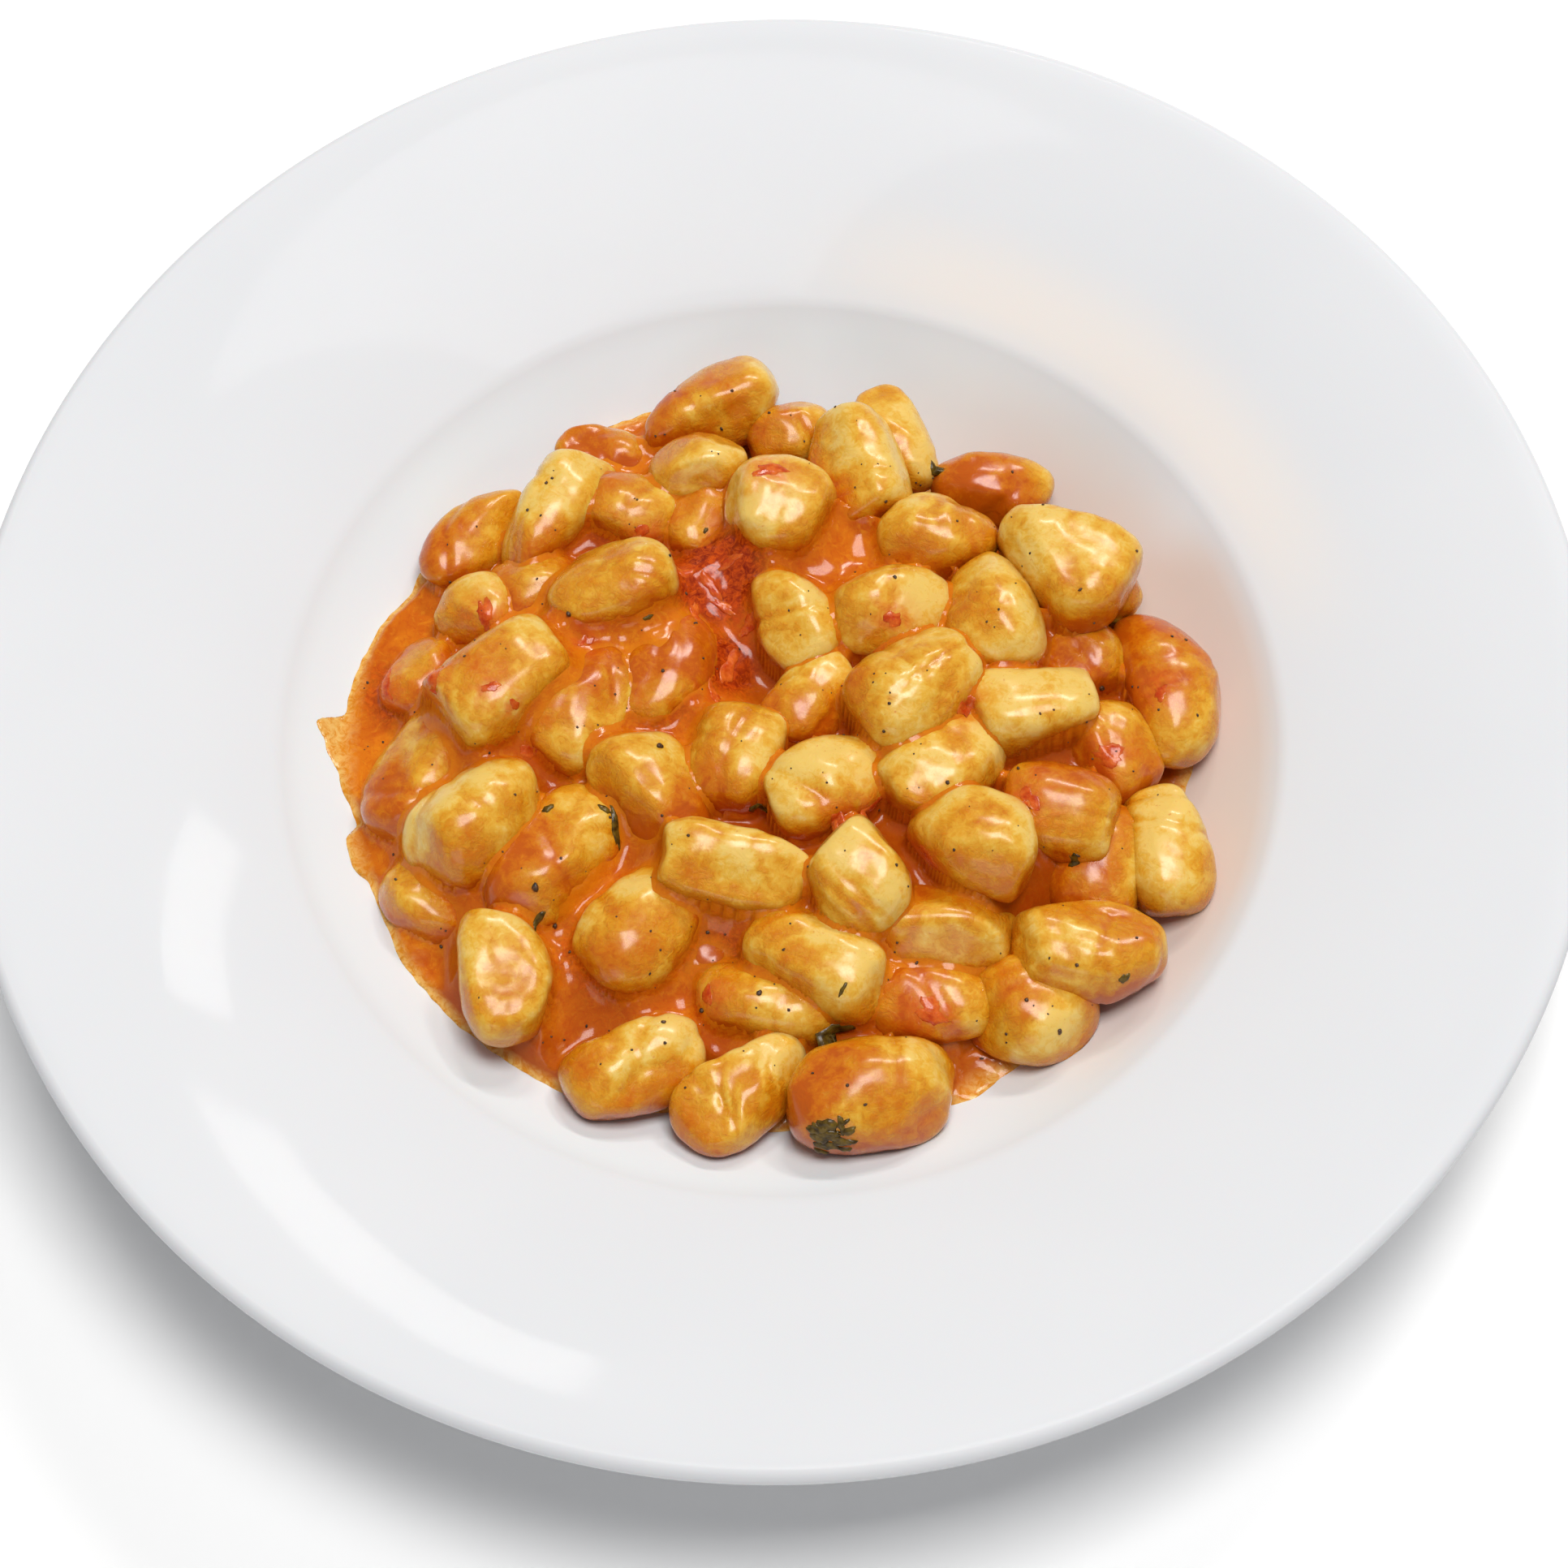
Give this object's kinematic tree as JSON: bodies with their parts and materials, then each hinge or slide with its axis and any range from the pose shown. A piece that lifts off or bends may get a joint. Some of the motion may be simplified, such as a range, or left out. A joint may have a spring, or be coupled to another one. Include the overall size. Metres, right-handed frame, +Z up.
{
  "type": "potato gnocchi in tomato cream sauce, in a pasta bowl",
  "caption": "Potato gnocchi heaped in tomato cream sauce, in a wide-rimmed round white porcelain pasta bowl.",
  "frame": {"origin": "on the table under the middle of the bowl's foot ring", "axes": "+Z up along the bowl's axis, +X to the eater's right, +Y away from the eater"},
  "size_m": [0.3, 0.3, 0.0454],
  "materials": {
    "porcelain": "smooth white glaze",
    "tomato_cream": "wet glossy sauce with herb flecks",
    "gnocchi_dough": "soft boiled dough with a thin coat of sauce"
  },
  "bodies": {
    "root": {"plate": "porcelain", "sauce": "tomato_cream", "gnocchi_heap": "gnocchi_dough"}
  },
  "joints": []
}
